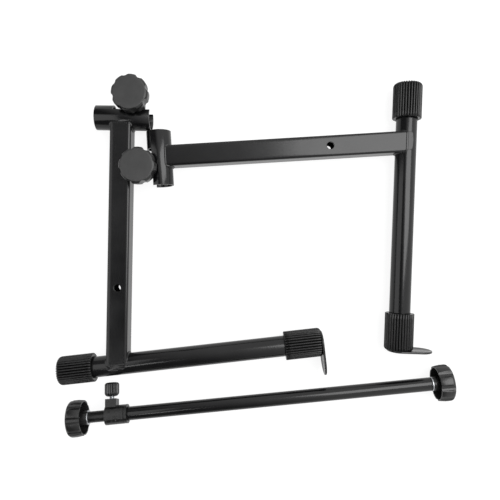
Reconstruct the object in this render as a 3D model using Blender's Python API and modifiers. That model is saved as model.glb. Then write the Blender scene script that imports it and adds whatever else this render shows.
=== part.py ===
"""Second-tier kit of an x-style keyboard stand, laid flat.

Two mirror-image support arms and one telescoping brace make up the kit. Each arm is a square bar
between a clamp sleeve, which grips the stand below, and a support tube with a grip at each end, one
of them with a lip. The brace is two nested tubes with a screw collar between them and a knob on a
threaded stud in each end.
Lengths are in metres and angles in radians. +X points right, +Y up the layout and +Z away from the
floor.
"""

import math

import bmesh
import bpy
from mathutils import Vector

# Clearances
FIT_GAP = 0.0003  # between pieces that seat on each other
THREAD_GAP = 0.0003  # radial, around every bolt and screw
SLIDE_GAP = 0.0003  # radial, between the nested tubes

# Square bar of an arm
BAR_SIDE = 0.0256
BAR_WALL = 0.0015
BAR_CORNER = 0.003
BAR_SPAN = 0.3034  # sleeve axis to support tube axis
BAR_STOP = 0.001  # from those axes to the uncut bar's ends
CROSS_HOLE_FROM_TUBE = 0.095

# Clamp sleeve of an arm
SLEEVE_BORE_RADIUS = 0.013
SLEEVE_WALL = 0.002
SLEEVE_PLAIN_REACH = 0.0316  # from the bar's axis to the closed ring's end
SLEEVE_CLAMP_REACH = 0.035  # from the bar's axis to the slit end
SLIT_START = 0.0099  # from the bar's axis to the cross cut, on the ring's side
SLIT_EDGE = 0.008  # from the sleeve's axis to the slit's edges

# Clamp ears, bolt and washer
EAR_WIDTH = 0.019
EAR_THICKNESS = 0.003
BOLT_FROM_SLEEVE = 0.0219
BOLT_FROM_BAR = {"left": 0.0156, "right": 0.0137}
BOLT_RADIUS = 0.004
BOLT_HEAD_RADIUS = 0.0085
BOLT_HEAD_THICKNESS = 0.0039
BOLT_HEAD_DOME = 0.0015
WASHER_RADIUS = 0.0085
WASHER_THICKNESS = 0.0016

# Support tube and grips
TUBE_RADIUS = 0.0127
TUBE_WALL = 0.0015
TUBE_LEAN = {"left": math.radians(7.4), "right": math.radians(5.5)}  # from square to the bar
PLAIN_END_REACH = {"left": 0.0724, "right": 0.0725}  # from the bar's axis to the plain grip's end
LIP_END_REACH = {"left": 0.253, "right": 0.2566}  # from the bar's axis to the lip's outer face
GRIP_RADIUS = 0.0175
PLAIN_GRIP_LENGTH = 0.043
LIP_GRIP_LENGTH = 0.047
GRIP_END_WALL = 0.003
GRIP_END_ROUND = 0.004
GRIP_MOUTH_CHAMFER = 0.001
GRIP_RIBS = 32
GRIP_RIB_DEPTH = 0.0014
GRIP_RIB_LAND = 0.0003  # by which the ribs' flanks would meet beyond the grip's radius
LIP_THICKNESS = 0.0025
LIP_DROP = 0.041  # from the tube's axis to the lip's tip, away from the bar
LIP_RISE = 0.0138  # from the tube's axis to the lip's other edge

# Lobed knob, the same on the clamps and the brace
KNOB_RADIUS = 0.0218
KNOB_RIM_RADIUS = 0.0208
KNOB_FACE_RADIUS = 0.0177
KNOB_SKIRT_HEIGHT = 0.0175
KNOB_WAIST_HEIGHT = 0.0075  # from the rim up to the widest ring
KNOB_FACE_ROUND = 0.0045
KNOB_SHELL = 0.002
KNOB_FACE_WALL = 0.003
KNOB_HUB_RADIUS = 0.0085
KNOB_HUB_PROUD = 0.004  # of the hub beyond the skirt's rim
KNOB_LOBES = 8
KNOB_NOTCH_RADIUS = 0.005
KNOB_NOTCH_DEPTH = 0.0018
KNOB_NOTCH_ANGLE = math.radians(15.0)
INSERT_RADIUS = 0.006
INSERT_LENGTH = 0.0137
BOLT_IN_KNOB = 0.0125

# Brace tubes
OUTER_TUBE_RADIUS = 0.00815
INNER_TUBE_RADIUS = 0.0067
INNER_TUBE_WALL = 0.0012
INNER_TUBE_LENGTH = 0.26
INNER_TUBE_SHOWN = 0.0206  # between the collar and the inner tube's end
BRACE_BODY_LENGTH = 0.399  # collar's free end to the outer tube's far end
END_INSERT_LENGTH = 0.016
STUD_RADIUS = 0.004
STUD_REACH = 0.0175  # of the stud beyond the knob's hub

# Collar and thumb screw
COLLAR_RADIUS = 0.0113
COLLAR_LENGTH = 0.0269
COLLAR_SOCKET = 0.0116  # depth of the outer tube in the collar
BOSS_LENGTH = 0.0139
BOSS_WIDTH = 0.0134
BOSS_TOP = 0.0189  # from the brace's axis
BOSS_ROOF = 0.002  # over the nut
NUT_SIDE = 0.010
NUT_THICKNESS = 0.0045
SCREW_RADIUS = 0.003
SCREW_HEAD_RADIUS = 0.0088
SCREW_HEAD_LENGTH = 0.0165
SCREW_HEAD_TAPER = 0.0035
SCREW_HEAD_NECK = 0.0042
SCREW_HEAD_ROUND = 0.0015
SCREW_SHOWN = 0.0032  # between the boss and the screw's head
SCREW_IN_HEAD = 0.012
PAD_THICKNESS = 0.0015

# Layout of the three assemblies: the left arm, then what lies beside it
LEFT_ARM_TURN = math.radians(-1.0)
RIGHT_ARM_TURN = math.radians(94.4)  # from the left arm's direction
RIGHT_ARM_ASIDE = 0.019  # from the left bar's side to the right sleeve
RIGHT_ARM_BELOW = 0.001  # from the left sleeve to the right sleeve's ring
BRACE_TURN = math.radians(-0.84)  # from the left support tube's direction
BRACE_ROLL = math.radians(-20.0)  # until the thumb screw's head is close to the floor
BRACE_ALONG = 0.0206  # from the left bar's axis to the collar's free end
BRACE_BELOW = 0.0106  # from the left lip's tip to the brace

# Fineness of the round shapes
FINE_STEPS = 32
COARSE_STEPS = 24
CORNER_STEPS = 3
ROUNDING_STEPS = 3
MERGE = 0.00001
CUT_EXTRA = 0.01  # how far a cutter runs past what it cuts

# Sizes that follow from the ones above
SLEEVE_RADIUS = SLEEVE_BORE_RADIUS + SLEEVE_WALL
STUD_HOLE_RADIUS = STUD_RADIUS + THREAD_GAP
EAR_INNER_HEIGHT = math.sqrt(SLEEVE_BORE_RADIUS**2 - SLIT_EDGE**2)
EAR_OUTER_HEIGHT = EAR_INNER_HEIGHT + EAR_THICKNESS
BOLT_HOLE_RADIUS = BOLT_RADIUS + THREAD_GAP
WASHER_BASE = EAR_OUTER_HEIGHT + FIT_GAP
CLAMP_KNOB_BASE = WASHER_BASE + WASHER_THICKNESS + FIT_GAP
KNOB_POCKET_DEPTH = INSERT_LENGTH + 2 * FIT_GAP
OUTER_TUBE_BORE = INNER_TUBE_RADIUS + SLIDE_GAP
INNER_TUBE_BORE = INNER_TUBE_RADIUS - INNER_TUBE_WALL
SCREW_HOLE_RADIUS = SCREW_RADIUS + THREAD_GAP
PAD_BASE = INNER_TUBE_RADIUS + FIT_GAP
SCREW_TIP = PAD_BASE + PAD_THICKNESS + FIT_GAP
SCREW_HEAD_BASE = BOSS_TOP + SCREW_SHOWN
NUT_POCKET_TOP = BOSS_TOP - BOSS_ROOF
NUT_BASE = NUT_POCKET_TOP - FIT_GAP - NUT_THICKNESS
ARM_HEIGHT = max(GRIP_RADIUS, EAR_OUTER_HEIGHT + FIT_GAP + BOLT_HEAD_THICKNESS)
RIGHT_ARM_X = BAR_SIDE / 2 + RIGHT_ARM_ASIDE + SLEEVE_RADIUS
RIGHT_ARM_Y = -SLEEVE_RADIUS - RIGHT_ARM_BELOW - SLEEVE_PLAIN_REACH
BRACE_Y = -LIP_DROP - BRACE_BELOW - OUTER_TUBE_RADIUS

# Colour, roughness and metallic value of each finish
FINISHES = {
    "black_powder_coat": ((0.018, 0.018, 0.018), 0.38, 0.0),
    "black_rubber": ((0.012, 0.012, 0.013), 0.6, 0.0),
    "black_plastic": ((0.022, 0.022, 0.022), 0.45, 0.0),
    "zinc_plate": ((0.6, 0.6, 0.58), 0.3, 1.0),
    "brass": ((0.6, 0.42, 0.16), 0.35, 1.0),
    "white_nylon": ((0.75, 0.74, 0.7), 0.5, 0.0),
}

QUARTER = math.pi / 2


def clear_scene():
    """Start from an empty scene."""
    for obj in list(bpy.data.objects):
        bpy.data.objects.remove(obj, do_unlink=True)


def new_collection(name):
    """Add a collection to the scene."""
    collection = bpy.data.collections.new(name)
    bpy.context.scene.collection.children.link(collection)
    return collection


def new_frame(name, parent, location=(0, 0, 0), rotation=(0, 0, 0)):
    """Add an empty that carries other pieces."""
    frame = bpy.data.objects.new(name, None)
    frame.empty_display_size = 0.01
    place(frame, parent, location, rotation)
    parts.objects.link(frame)
    return frame


def place(obj, parent, location, rotation):
    """Put an object in its parent's frame."""
    obj.parent = parent
    obj.location = location
    obj.rotation_euler = rotation


def coat(obj, finish):
    """Give a piece its own material."""
    colour, roughness, metallic = FINISHES[finish]
    material = bpy.data.materials.new(obj.name + "_" + finish)
    material.use_nodes = True
    shader = material.node_tree.nodes["Principled BSDF"]
    shader.inputs["Base Color"].default_value = (*colour, 1.0)
    shader.inputs["Roughness"].default_value = roughness
    shader.inputs["Metallic"].default_value = metallic
    obj.data.materials.append(material)


def add_piece(name, mesh, parent, location, rotation, finish):
    """Add a finished piece to the kit."""
    obj = bpy.data.objects.new(name, mesh)
    place(obj, parent, location, rotation)
    parts.objects.link(obj)
    coat(obj, finish)
    return obj


def add_tool(name, mesh, parent, location, rotation=(0, 0, 0)):
    """Add a shape that cuts or joins a piece and isn't one itself."""
    tool = bpy.data.objects.new(name, mesh)
    place(tool, parent, location, rotation)
    tool.display_type = "WIRE"
    tool.hide_render = True
    tools.objects.link(tool)
    return tool


def combine(obj, tool, operation):
    """Cut a tool out of a piece, or join it on."""
    boolean = obj.modifiers.new(tool.name, "BOOLEAN")
    boolean.operation = operation
    boolean.solver = "EXACT"
    boolean.object = tool


def profile_mesh(name, profile, closed):
    """A turned piece's outline of (radius, height) points, down its outer side."""
    corners = [(radius, 0.0, height) for radius, height in profile]
    edges = [(i, i + 1) for i in range(len(corners) - 1)]
    if closed:
        edges.append((len(corners) - 1, 0))
    mesh = bpy.data.meshes.new(name)
    mesh.from_pydata(corners, edges, [])
    return mesh


def turn(obj, steps):
    """Turn an object's outline about its own Z axis."""
    screw = obj.modifiers.new("turn", "SCREW")
    screw.steps = steps
    screw.render_steps = steps
    screw.use_merge_vertices = True
    screw.merge_threshold = MERGE
    screw.use_smooth_shade = True


def turned_piece(name, profile, parent, location, rotation, finish, closed=False, steps=FINE_STEPS):
    """A solid turned about its own Z axis."""
    obj = add_piece(name, profile_mesh(name, profile, closed), parent, location, rotation, finish)
    turn(obj, steps)
    return obj


def ring_profile(outer, inner, low, high):
    """Outline of a tube or ring."""
    return [(outer, high), (outer, low), (inner, low), (inner, high)]


def cylinder_mesh(name, radius, depth, steps=FINE_STEPS):
    """A closed cylinder about Z, centred."""
    shape = bmesh.new()
    bmesh.ops.create_cone(shape, cap_ends=True, segments=steps, radius1=radius, radius2=radius, depth=depth)
    mesh = bpy.data.meshes.new(name)
    shape.to_mesh(mesh)
    shape.free()
    return mesh


def box_mesh(name, size):
    """A closed box, centred."""
    shape = bmesh.new()
    bmesh.ops.create_cube(shape, size=1.0)
    bmesh.ops.scale(shape, vec=Vector(size), verts=shape.verts)
    mesh = bpy.data.meshes.new(name)
    shape.to_mesh(mesh)
    shape.free()
    return mesh


def arc(centre, radius, start, end, steps, squash=1.0):
    """Points on an arc, with its second coordinate scaled by squash."""
    angles = [start + (end - start) * i / steps for i in range(steps + 1)]
    return [(centre[0] + radius * math.cos(a), centre[1] + squash * radius * math.sin(a)) for a in angles]


def plate_mesh(name, outline, thickness):
    """A flat plate, centred on its own XY plane."""
    curve = bpy.data.curves.new(name, "CURVE")
    curve.dimensions = "2D"
    curve.fill_mode = "BOTH"
    curve.extrude = thickness / 2
    spline = curve.splines.new("POLY")
    spline.points.add(len(outline) - 1)
    for point, (x, y) in zip(spline.points, outline):
        point.co = (x, y, 0.0, 1.0)
    spline.use_cyclic_u = True
    sheet = bpy.data.objects.new(name, curve)
    bpy.context.scene.collection.objects.link(sheet)
    mesh = bpy.data.meshes.new_from_object(sheet.evaluated_get(bpy.context.evaluated_depsgraph_get()))
    bpy.data.objects.remove(sheet, do_unlink=True)
    bpy.data.curves.remove(curve)
    shape = bmesh.new()
    shape.from_mesh(mesh)
    bmesh.ops.remove_doubles(shape, verts=shape.verts, dist=MERGE)
    shape.to_mesh(mesh)
    shape.free()
    return mesh


def rounded_square(side, corner):
    """Outline of a square with rounded corners."""
    reach = side / 2 - corner
    points = []
    for i, (x, y) in enumerate([(reach, reach), (-reach, reach), (-reach, -reach), (reach, -reach)]):
        points += arc((x, y), corner, i * QUARTER, (i + 1) * QUARTER, CORNER_STEPS)
    return points


def build_bar(name, arm, tube):
    """The square bar, saddled over the sleeve and the support tube, with the brace's cross hole."""
    outside = rounded_square(BAR_SIDE, BAR_CORNER)
    inside = rounded_square(BAR_SIDE - 2 * BAR_WALL, BAR_CORNER - BAR_WALL)
    middle = (0, -BAR_SPAN / 2, 0)
    upright = (QUARTER, 0, 0)
    mesh = plate_mesh(name + "_bar", outside, BAR_SPAN - 2 * BAR_STOP)
    bar = add_piece(name + "_bar", mesh, arm, middle, upright, "black_powder_coat")
    bore = plate_mesh(name + "_bar_bore", inside, BAR_SPAN + 2 * CUT_EXTRA)
    combine(bar, add_tool(name + "_bar_bore", bore, arm, middle, upright), "DIFFERENCE")
    saddle_length = BAR_SIDE + 2 * CUT_EXTRA
    sleeve_saddle = cylinder_mesh(name + "_sleeve_saddle", SLEEVE_RADIUS + FIT_GAP, saddle_length)
    tube_saddle = cylinder_mesh(name + "_tube_saddle", TUBE_RADIUS + FIT_GAP, saddle_length)
    cross_hole = cylinder_mesh(name + "_cross_hole", STUD_HOLE_RADIUS, saddle_length, COARSE_STEPS)
    across = (0, QUARTER, 0)
    sleeve_cut = add_tool(name + "_sleeve_saddle", sleeve_saddle, arm, (0, 0, 0), across)
    tube_cut = add_tool(name + "_tube_saddle", tube_saddle, tube, (0, 0, 0), across)
    hole_place = (0, CROSS_HOLE_FROM_TUBE - BAR_SPAN, 0)
    hole_cut = add_tool(name + "_cross_hole", cross_hole, arm, hole_place)
    combine(bar, sleeve_cut, "DIFFERENCE")
    combine(bar, tube_cut, "DIFFERENCE")
    combine(bar, hole_cut, "DIFFERENCE")


def build_sleeve(name, side, arm):
    """The clamp sleeve: a closed ring at one end, then open along the side that faces away from the bar."""
    length = SLEEVE_PLAIN_REACH + SLEEVE_CLAMP_REACH
    middle = side * (SLEEVE_CLAMP_REACH - SLEEVE_PLAIN_REACH) / 2
    profile = ring_profile(SLEEVE_RADIUS, SLEEVE_BORE_RADIUS, -length / 2, length / 2)
    along = (0, QUARTER, 0)
    sleeve = turned_piece(name + "_clamp_sleeve", profile, arm, (middle, 0, 0), along, "black_powder_coat", True)
    slit_length = SLIT_START + SLEEVE_CLAMP_REACH + CUT_EXTRA
    slit_depth = SLEEVE_RADIUS - SLIT_EDGE + CUT_EXTRA
    slit_mesh = box_mesh(name + "_slit", (slit_length, slit_depth, 2 * (SLEEVE_RADIUS + CUT_EXTRA)))
    slit_place = (side * (slit_length / 2 - SLIT_START), SLIT_EDGE + slit_depth / 2, 0)
    combine(sleeve, add_tool(name + "_slit", slit_mesh, arm, slit_place), "DIFFERENCE")


def ear_outline():
    """An ear about its bolt hole, straight at the sleeve and round at the free end."""
    root = SLIT_EDGE + FIT_GAP - BOLT_FROM_SLEEVE
    half = EAR_WIDTH / 2
    return [*arc((0, 0), half, 0, math.pi, FINE_STEPS // 2), (-half, root), (half, root)]


def build_clamp(name, side, arm):
    """The two ears, the bolt through them, and the washer and knob that draw them together."""
    axis = (side * BOLT_FROM_BAR[name], BOLT_FROM_SLEEVE)
    ear_middle = EAR_INNER_HEIGHT + EAR_THICKNESS / 2
    for level, height in (("upper", ear_middle), ("lower", -ear_middle)):
        ear_name = name + "_" + level + "_ear"
        ear_mesh = plate_mesh(ear_name, ear_outline(), EAR_THICKNESS)
        ear = add_piece(ear_name, ear_mesh, arm, (*axis, height), (0, 0, 0), "black_powder_coat")
        hole = cylinder_mesh(ear_name + "_hole", BOLT_HOLE_RADIUS, EAR_THICKNESS + CUT_EXTRA, COARSE_STEPS)
        combine(ear, add_tool(ear_name + "_hole", hole, arm, (*axis, height)), "DIFFERENCE")
    head_top = -EAR_OUTER_HEIGHT - FIT_GAP
    head_base = head_top - BOLT_HEAD_THICKNESS
    bolt_top = CLAMP_KNOB_BASE + BOLT_IN_KNOB
    bolt_profile = [
        (0, bolt_top),
        (BOLT_RADIUS, bolt_top),
        (BOLT_RADIUS, head_top),
        (BOLT_HEAD_RADIUS, head_top),
        (BOLT_HEAD_RADIUS, head_base + BOLT_HEAD_DOME),
        (BOLT_HEAD_RADIUS - BOLT_HEAD_DOME, head_base),
        (0, head_base),
    ]
    place_of_bolt = (*axis, 0)
    bolt_name = name + "_clamp_bolt"
    turned_piece(bolt_name, bolt_profile, arm, place_of_bolt, (0, 0, 0), "zinc_plate", steps=COARSE_STEPS)
    washer = new_frame(name + "_clamp_axis", arm, (*axis, WASHER_BASE))
    build_washer(name + "_clamp_washer", washer, BOLT_HOLE_RADIUS)
    knob = new_frame(name + "_clamp_knob_frame", washer, (0, 0, WASHER_THICKNESS + FIT_GAP))
    build_knob(name + "_clamp_knob", knob)
    insert = ring_profile(INSERT_RADIUS, BOLT_HOLE_RADIUS, FIT_GAP, FIT_GAP + INSERT_LENGTH)
    insert_name = name + "_clamp_knob_insert"
    turned_piece(insert_name, insert, knob, (0, 0, 0), (0, 0, 0), "brass", True, COARSE_STEPS)


def build_washer(name, frame, hole_radius):
    """A plain washer that stands on its frame's XY plane."""
    profile = ring_profile(WASHER_RADIUS, hole_radius, 0, WASHER_THICKNESS)
    turned_piece(name, profile, frame, (0, 0, 0), (0, 0, 0), "zinc_plate", True, COARSE_STEPS)


def knob_profile():
    """Half section of the knob from its face's middle, over the skirt and up into the hub's pocket."""
    face = KNOB_HUB_PROUD + KNOB_SKIRT_HEIGHT
    round_width = KNOB_RADIUS - KNOB_FACE_RADIUS
    squash = KNOB_FACE_ROUND / round_width
    corner = (KNOB_FACE_RADIUS, face - KNOB_FACE_ROUND)
    shoulder = arc(corner, round_width, QUARTER, 0, ROUNDING_STEPS, squash)
    ceiling = face - KNOB_FACE_WALL
    pocket_radius = INSERT_RADIUS + FIT_GAP
    return [
        (0, face),
        *shoulder,
        (KNOB_RADIUS, KNOB_HUB_PROUD + KNOB_WAIST_HEIGHT),
        (KNOB_RIM_RADIUS, KNOB_HUB_PROUD),
        (KNOB_RIM_RADIUS - KNOB_SHELL, KNOB_HUB_PROUD),
        (KNOB_FACE_RADIUS, ceiling),
        (KNOB_HUB_RADIUS, ceiling),
        (KNOB_HUB_RADIUS, 0),
        (pocket_radius, 0),
        (pocket_radius, KNOB_POCKET_DEPTH),
        (0, KNOB_POCKET_DEPTH),
    ]


def notch_mesh(name):
    """The upright cylinders that leave lobes between them."""
    shape = bmesh.new()
    depth = KNOB_SKIRT_HEIGHT + 2 * CUT_EXTRA
    middle = KNOB_HUB_PROUD + KNOB_SKIRT_HEIGHT / 2
    reach = KNOB_RADIUS + KNOB_NOTCH_RADIUS - KNOB_NOTCH_DEPTH
    for i in range(KNOB_LOBES):
        angle = KNOB_NOTCH_ANGLE + 2 * math.pi * i / KNOB_LOBES
        made = bmesh.ops.create_cone(
            shape,
            cap_ends=True,
            segments=COARSE_STEPS,
            radius1=KNOB_NOTCH_RADIUS,
            radius2=KNOB_NOTCH_RADIUS,
            depth=depth,
        )
        offset = Vector((reach * math.cos(angle), reach * math.sin(angle), middle))
        bmesh.ops.translate(shape, vec=offset, verts=made["verts"])
    mesh = bpy.data.meshes.new(name)
    shape.to_mesh(mesh)
    shape.free()
    return mesh


def build_knob(name, frame):
    """A lobed cap with a hollow back, its hub seated on the frame's XY plane."""
    knob = turned_piece(name, knob_profile(), frame, (0, 0, 0), (0, 0, 0), "black_plastic")
    combine(knob, add_tool(name + "_notches", notch_mesh(name + "_notches"), frame, (0, 0, 0)), "DIFFERENCE")


def grip_profile(length, top):
    """Half section of a cup that covers a tube's end, its closed end up at the height top."""
    bore = TUBE_RADIUS + FIT_GAP
    corner = (GRIP_RADIUS - GRIP_END_ROUND, top - GRIP_END_ROUND)
    rounding = arc(corner, GRIP_END_ROUND, QUARTER, 0, ROUNDING_STEPS)
    return [
        (0, top),
        *rounding,
        (GRIP_RADIUS, GRIP_MOUTH_CHAMFER - length),
        (GRIP_RADIUS - GRIP_MOUTH_CHAMFER, -length),
        (bore, -length),
        (bore, -GRIP_END_WALL),
        (0, -GRIP_END_WALL),
    ]


def cut_ribs(grip, name, tube, place, rotation):
    """Cuts the valleys between a grip's ribs, all along it."""
    outline = []
    for i in range(2 * GRIP_RIBS):
        angle = math.pi * i / GRIP_RIBS
        reach = GRIP_RADIUS - GRIP_RIB_DEPTH if i % 2 else GRIP_RADIUS + GRIP_RIB_LAND
        outline.append((reach * math.cos(angle), reach * math.sin(angle)))
    mesh = plate_mesh(name + "_ribs", outline, 3 * LIP_GRIP_LENGTH)
    combine(grip, add_tool(name + "_ribs", mesh, tube, place, rotation), "INTERSECT")


def lip_outline():
    """The lip seen along the tube: round at the tip, half an ellipse across the tube."""
    tip = arc((0, GRIP_RADIUS - LIP_DROP), GRIP_RADIUS, math.pi, 2 * math.pi, FINE_STEPS // 2)
    crown = arc((0, 0), GRIP_RADIUS, 0, math.pi, FINE_STEPS // 2, LIP_RISE / GRIP_RADIUS)
    return [*tip, *crown]


def build_support(name, side, tube):
    """The support tube with its plain grip at one end and its lipped grip at the other."""
    plain_reach = PLAIN_END_REACH[name]
    lip_reach = LIP_END_REACH[name]
    low = FIT_GAP + GRIP_END_WALL - plain_reach
    high = lip_reach - GRIP_END_WALL - FIT_GAP
    profile = ring_profile(TUBE_RADIUS, TUBE_RADIUS - TUBE_WALL, low, high)
    towards_lip = (0, side * QUARTER, 0)
    towards_plain = (0, -side * QUARTER, 0)
    turned_piece(name + "_support_tube", profile, tube, (0, 0, 0), towards_lip, "black_powder_coat", True)
    plain_place = (-side * plain_reach, 0, 0)
    plain_cup = grip_profile(PLAIN_GRIP_LENGTH, 0)
    plain_grip = turned_piece(name + "_plain_grip", plain_cup, tube, plain_place, towards_plain, "black_rubber")
    cut_ribs(plain_grip, name + "_plain", tube, plain_place, towards_plain)
    lip_place = (side * lip_reach, 0, 0)
    lip_cup = grip_profile(LIP_GRIP_LENGTH, -LIP_THICKNESS / 2)
    lip_grip = turned_piece(name + "_lip_grip", lip_cup, tube, lip_place, towards_lip, "black_rubber")
    cut_ribs(lip_grip, name + "_lip", tube, lip_place, towards_lip)
    lip_mesh = plate_mesh(name + "_lip", lip_outline(), LIP_THICKNESS)
    lip_middle = (side * (lip_reach - LIP_THICKNESS / 2), 0, 0)
    combine(lip_grip, add_tool(name + "_lip", lip_mesh, tube, lip_middle, towards_lip), "UNION")


def build_arm(name, side, carrier, spot, turned):
    """One arm. Its frame is where the bar's and the sleeve's axes cross. Side is +1 with the lip at +X."""
    arm = new_frame(name + "_arm_frame", carrier, spot, (0, 0, turned))
    tube = new_frame(name + "_tube_frame", arm, (0, -BAR_SPAN, 0), (0, 0, side * TUBE_LEAN[name]))
    build_bar(name, arm, tube)
    build_sleeve(name, side, arm)
    build_clamp(name, side, arm)
    build_support(name, side, tube)
    return arm, tube


def build_end(name, carrier, distance, direction, tube_bore):
    """A tube's end: the threaded insert inside it, then a washer, and a knob on its stud."""
    tube_end = new_frame(name + "_end_frame", carrier, (distance, 0, 0), (0, direction * QUARTER, 0))
    insert = ring_profile(tube_bore - FIT_GAP, STUD_HOLE_RADIUS, -END_INSERT_LENGTH, 0)
    insert_name = name + "_end_insert"
    turned_piece(insert_name, insert, tube_end, (0, 0, 0), (0, 0, 0), "zinc_plate", True, COARSE_STEPS)
    washer = new_frame(name + "_end_axis", tube_end, (0, 0, FIT_GAP))
    build_washer(name + "_end_washer", washer, STUD_HOLE_RADIUS)
    knob = new_frame(name + "_end_knob_frame", washer, (0, 0, WASHER_THICKNESS + FIT_GAP))
    build_knob(name + "_end_knob", knob)
    stud = [
        (0, FIT_GAP + INSERT_LENGTH),
        (INSERT_RADIUS, FIT_GAP + INSERT_LENGTH),
        (INSERT_RADIUS, FIT_GAP),
        (STUD_RADIUS, FIT_GAP),
        (STUD_RADIUS, -STUD_REACH),
        (0, -STUD_REACH),
    ]
    turned_piece(name + "_end_stud", stud, knob, (0, 0, 0), (0, 0, 0), "zinc_plate", steps=COARSE_STEPS)


def build_collar(brace):
    """The screw collar: a round body on the outer tube's end, with a square boss for the thumb screw."""
    mesh = cylinder_mesh("brace_collar", COLLAR_RADIUS, COLLAR_LENGTH)
    along = (0, QUARTER, 0)
    collar = add_piece("brace_collar", mesh, brace, (COLLAR_LENGTH / 2, 0, 0), along, "black_plastic")
    boss = box_mesh("collar_boss", (BOSS_LENGTH - FIT_GAP, BOSS_TOP, BOSS_WIDTH))
    boss_middle = (FIT_GAP + (BOSS_LENGTH - FIT_GAP) / 2, BOSS_TOP / 2, 0)
    combine(collar, add_tool("collar_boss", boss, brace, boss_middle), "UNION")
    bore = cylinder_mesh("collar_bore", OUTER_TUBE_BORE, COLLAR_LENGTH + 2 * CUT_EXTRA)
    combine(collar, add_tool("collar_bore", bore, brace, (COLLAR_LENGTH / 2, 0, 0), along), "DIFFERENCE")
    socket = cylinder_mesh("collar_socket", OUTER_TUBE_RADIUS + FIT_GAP, COLLAR_SOCKET + CUT_EXTRA)
    socket_middle = (COLLAR_LENGTH - COLLAR_SOCKET + (COLLAR_SOCKET + CUT_EXTRA) / 2, 0, 0)
    combine(collar, add_tool("collar_socket", socket, brace, socket_middle, along), "DIFFERENCE")
    screw_x = BOSS_LENGTH / 2
    hole = cylinder_mesh("collar_screw_hole", SCREW_HOLE_RADIUS, BOSS_TOP + CUT_EXTRA, COARSE_STEPS)
    hole_middle = (screw_x, (BOSS_TOP + CUT_EXTRA) / 2, 0)
    combine(collar, add_tool("collar_screw_hole", hole, brace, hole_middle, (QUARTER, 0, 0)), "DIFFERENCE")
    pocket_side = NUT_SIDE + 2 * FIT_GAP
    pocket = box_mesh("collar_nut_pocket", (pocket_side, NUT_POCKET_TOP, pocket_side))
    pocket_middle = (screw_x, NUT_POCKET_TOP / 2, 0)
    combine(collar, add_tool("collar_nut_pocket", pocket, brace, pocket_middle), "DIFFERENCE")
    nut_mesh = box_mesh("collar_nut", (NUT_SIDE, NUT_THICKNESS, NUT_SIDE))
    nut_middle = (screw_x, NUT_BASE + NUT_THICKNESS / 2, 0)
    nut = add_piece("collar_nut", nut_mesh, brace, nut_middle, (0, 0, 0), "zinc_plate")
    nut_hole = cylinder_mesh("collar_nut_hole", SCREW_HOLE_RADIUS, NUT_THICKNESS + CUT_EXTRA, COARSE_STEPS)
    combine(nut, add_tool("collar_nut_hole", nut_hole, brace, nut_middle, (QUARTER, 0, 0)), "DIFFERENCE")


def build_thumb_screw(brace):
    """The screw in the collar's boss, the pad under its tip and its moulded head."""
    across = (-QUARTER, 0, 0)
    axis = new_frame("thumb_screw_axis", brace, (BOSS_LENGTH / 2, 0, 0), across)
    pad = [
        (0, PAD_BASE + PAD_THICKNESS),
        (SCREW_RADIUS, PAD_BASE + PAD_THICKNESS),
        (SCREW_RADIUS, PAD_BASE),
        (0, PAD_BASE),
    ]
    turned_piece("thumb_screw_pad", pad, axis, (0, 0, 0), (0, 0, 0), "white_nylon", steps=COARSE_STEPS)
    screw_frame = new_frame("thumb_screw_frame", axis)
    shank_top = SCREW_HEAD_BASE + SCREW_IN_HEAD
    shank = [(0, shank_top), (SCREW_RADIUS, shank_top), (SCREW_RADIUS, SCREW_TIP), (0, SCREW_TIP)]
    turned_piece("thumb_screw_shank", shank, screw_frame, (0, 0, 0), (0, 0, 0), "zinc_plate", steps=COARSE_STEPS)
    head_top = SCREW_HEAD_BASE + SCREW_HEAD_LENGTH
    hole = SCREW_HOLE_RADIUS
    hole_top = shank_top + FIT_GAP
    head = [
        (0, head_top),
        (SCREW_HEAD_RADIUS - SCREW_HEAD_ROUND, head_top),
        (SCREW_HEAD_RADIUS, head_top - SCREW_HEAD_ROUND),
        (SCREW_HEAD_RADIUS, SCREW_HEAD_BASE + SCREW_HEAD_TAPER),
        (SCREW_HEAD_NECK, SCREW_HEAD_BASE),
        (hole, SCREW_HEAD_BASE),
        (hole, hole_top),
        (0, hole_top),
    ]
    turned_piece("thumb_screw_head", head, screw_frame, (0, 0, 0), (0, 0, 0), "black_plastic")


def build_brace(carrier):
    """The telescoping brace. Its frame is at the collar's free end, with +X along the outer tube."""
    spot = (-BRACE_ALONG, BRACE_Y, KNOB_RADIUS - ARM_HEIGHT)
    brace = new_frame("brace_frame", carrier, spot, (BRACE_ROLL, 0, BRACE_TURN))
    along = (0, QUARTER, 0)
    tube_start = COLLAR_LENGTH - COLLAR_SOCKET + FIT_GAP
    outer = ring_profile(OUTER_TUBE_RADIUS, OUTER_TUBE_BORE, tube_start, BRACE_BODY_LENGTH)
    turned_piece("brace_outer_tube", outer, brace, (0, 0, 0), along, "black_powder_coat", True)
    build_collar(brace)
    build_thumb_screw(brace)
    build_end("right", brace, BRACE_BODY_LENGTH, 1, OUTER_TUBE_BORE)
    inner_frame = new_frame("brace_inner_frame", brace, (-INNER_TUBE_SHOWN, 0, 0))
    inner = ring_profile(INNER_TUBE_RADIUS, INNER_TUBE_BORE, 0, INNER_TUBE_LENGTH)
    turned_piece("brace_inner_tube", inner, inner_frame, (0, 0, 0), along, "black_powder_coat", True)
    build_end("left", inner_frame, 0, -1, INNER_TUBE_BORE)


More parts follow.
